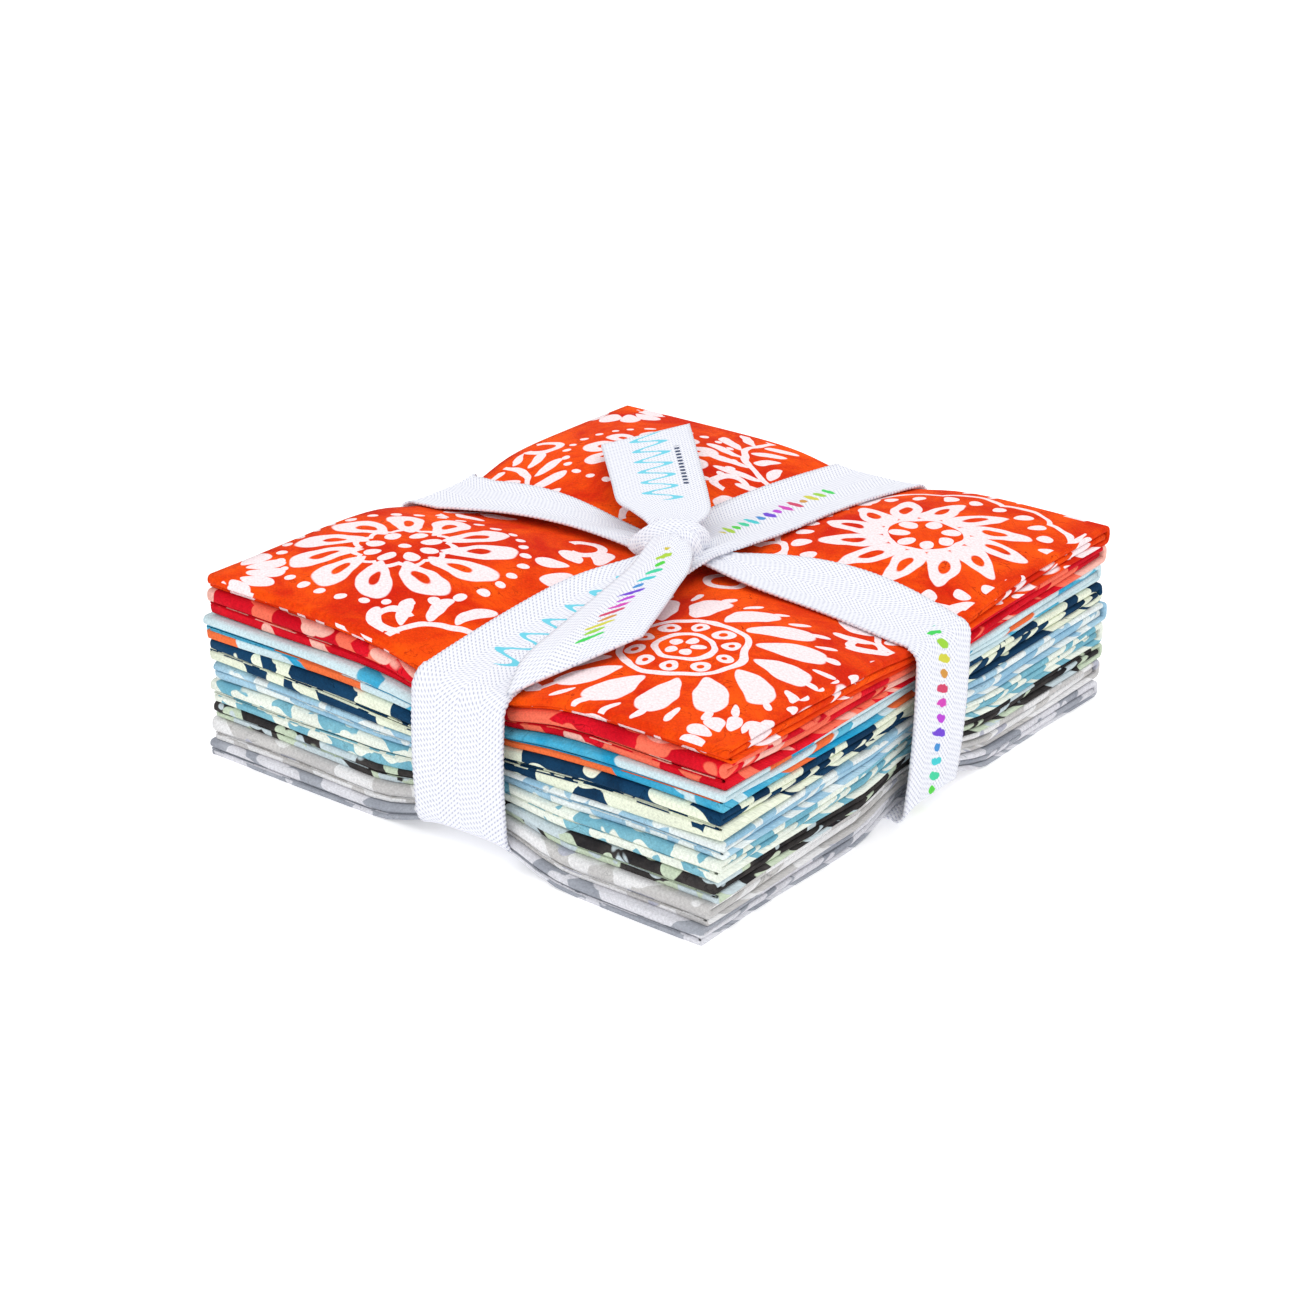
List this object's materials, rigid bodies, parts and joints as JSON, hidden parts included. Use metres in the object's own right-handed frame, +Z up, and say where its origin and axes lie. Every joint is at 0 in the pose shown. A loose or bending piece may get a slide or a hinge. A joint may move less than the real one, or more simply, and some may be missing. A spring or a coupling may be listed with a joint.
{
  "type": "fat quarter bundle",
  "caption": "Stack of folded printed quilting cottons, tied crosswise with white twill tape knotted on top.",
  "frame": {"origin": "on the surface that the bundle stands on, under the middle of its footprint", "axes": "+Z up; +X along the side where each cloth shows one thick fold; +Y along the side where the folded layers show as thin strips"},
  "size_m": [0.1474, 0.1594, 0.0521],
  "materials": {
    "blue_grey_cotton": "printed plain-weave cotton, matt",
    "pale_grey_cotton": "printed plain-weave cotton, matt",
    "charcoal_cotton": "printed plain-weave cotton, matt",
    "blue_cream_cotton": "printed plain-weave cotton, matt",
    "soft_blue_cotton": "printed plain-weave cotton, matt",
    "navy_mint_cotton": "printed plain-weave cotton, matt",
    "sky_coral_cotton": "printed plain-weave cotton, matt",
    "crimson_cotton": "printed plain-weave cotton, matt",
    "orange_floral_cotton": "mottled dyed cotton with a white floral print, matt",
    "white_twill_tape": "white herringbone twill tape, matt"
  },
  "bodies": {
    "root": {"cloth_1_blue_grey": "blue_grey_cotton", "cloth_2_pale_grey": "pale_grey_cotton", "cloth_3_charcoal": "charcoal_cotton", "cloth_4_blue_cream": "blue_cream_cotton", "cloth_5_soft_blue": "soft_blue_cotton", "cloth_6_navy_mint": "navy_mint_cotton", "cloth_7_sky_coral": "sky_coral_cotton", "cloth_8_crimson": "crimson_cotton", "cloth_9_orange_floral": "orange_floral_cotton", "tie_tape": "white_twill_tape"}
  },
  "joints": []
}
